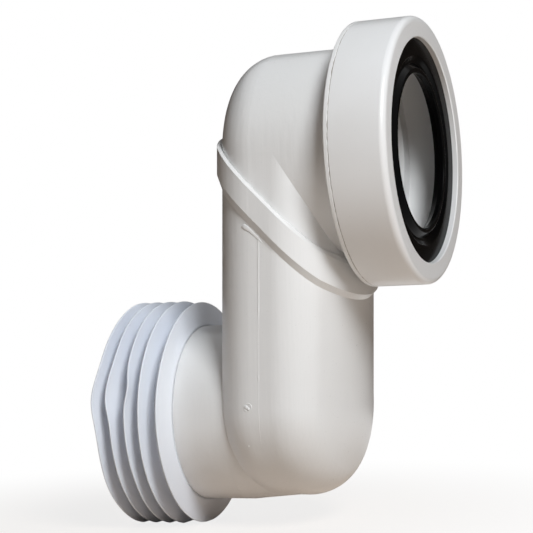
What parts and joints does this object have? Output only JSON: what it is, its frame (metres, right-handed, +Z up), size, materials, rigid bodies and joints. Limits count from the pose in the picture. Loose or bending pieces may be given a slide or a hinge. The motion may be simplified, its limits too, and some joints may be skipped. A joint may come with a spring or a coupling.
{
  "type": "toilet pan connector",
  "caption": "Offset white plastic toilet pan connector with a ringed rubber inlet seal at the top and a finned outlet sleeve at the bottom.",
  "frame": {"origin": "On the outlet axis, in the plane of the middle fin of the outlet sleeve.", "axes": "-X is the way the outlet points, along the outlet and inlet axes. +Z is up the leg towards the inlet. The part is symmetric about the plane Y = 0."},
  "size_m": [0.1701, 0.138, 0.2622],
  "materials": {
    "body_plastic": "moulded, slightly glossy, warm white",
    "ring_plastic": "moulded, slightly glossy, white",
    "seal_rubber": "moulded, black, slightly glossy",
    "fin_rubber": "soft, satin, bluish white"
  },
  "bodies": {
    "root": {"lower_body": "body_plastic", "upper_elbow": "body_plastic", "retaining_ring": "ring_plastic", "inlet_seal": "seal_rubber", "outlet_fin_seal": "fin_rubber"}
  },
  "joints": []
}
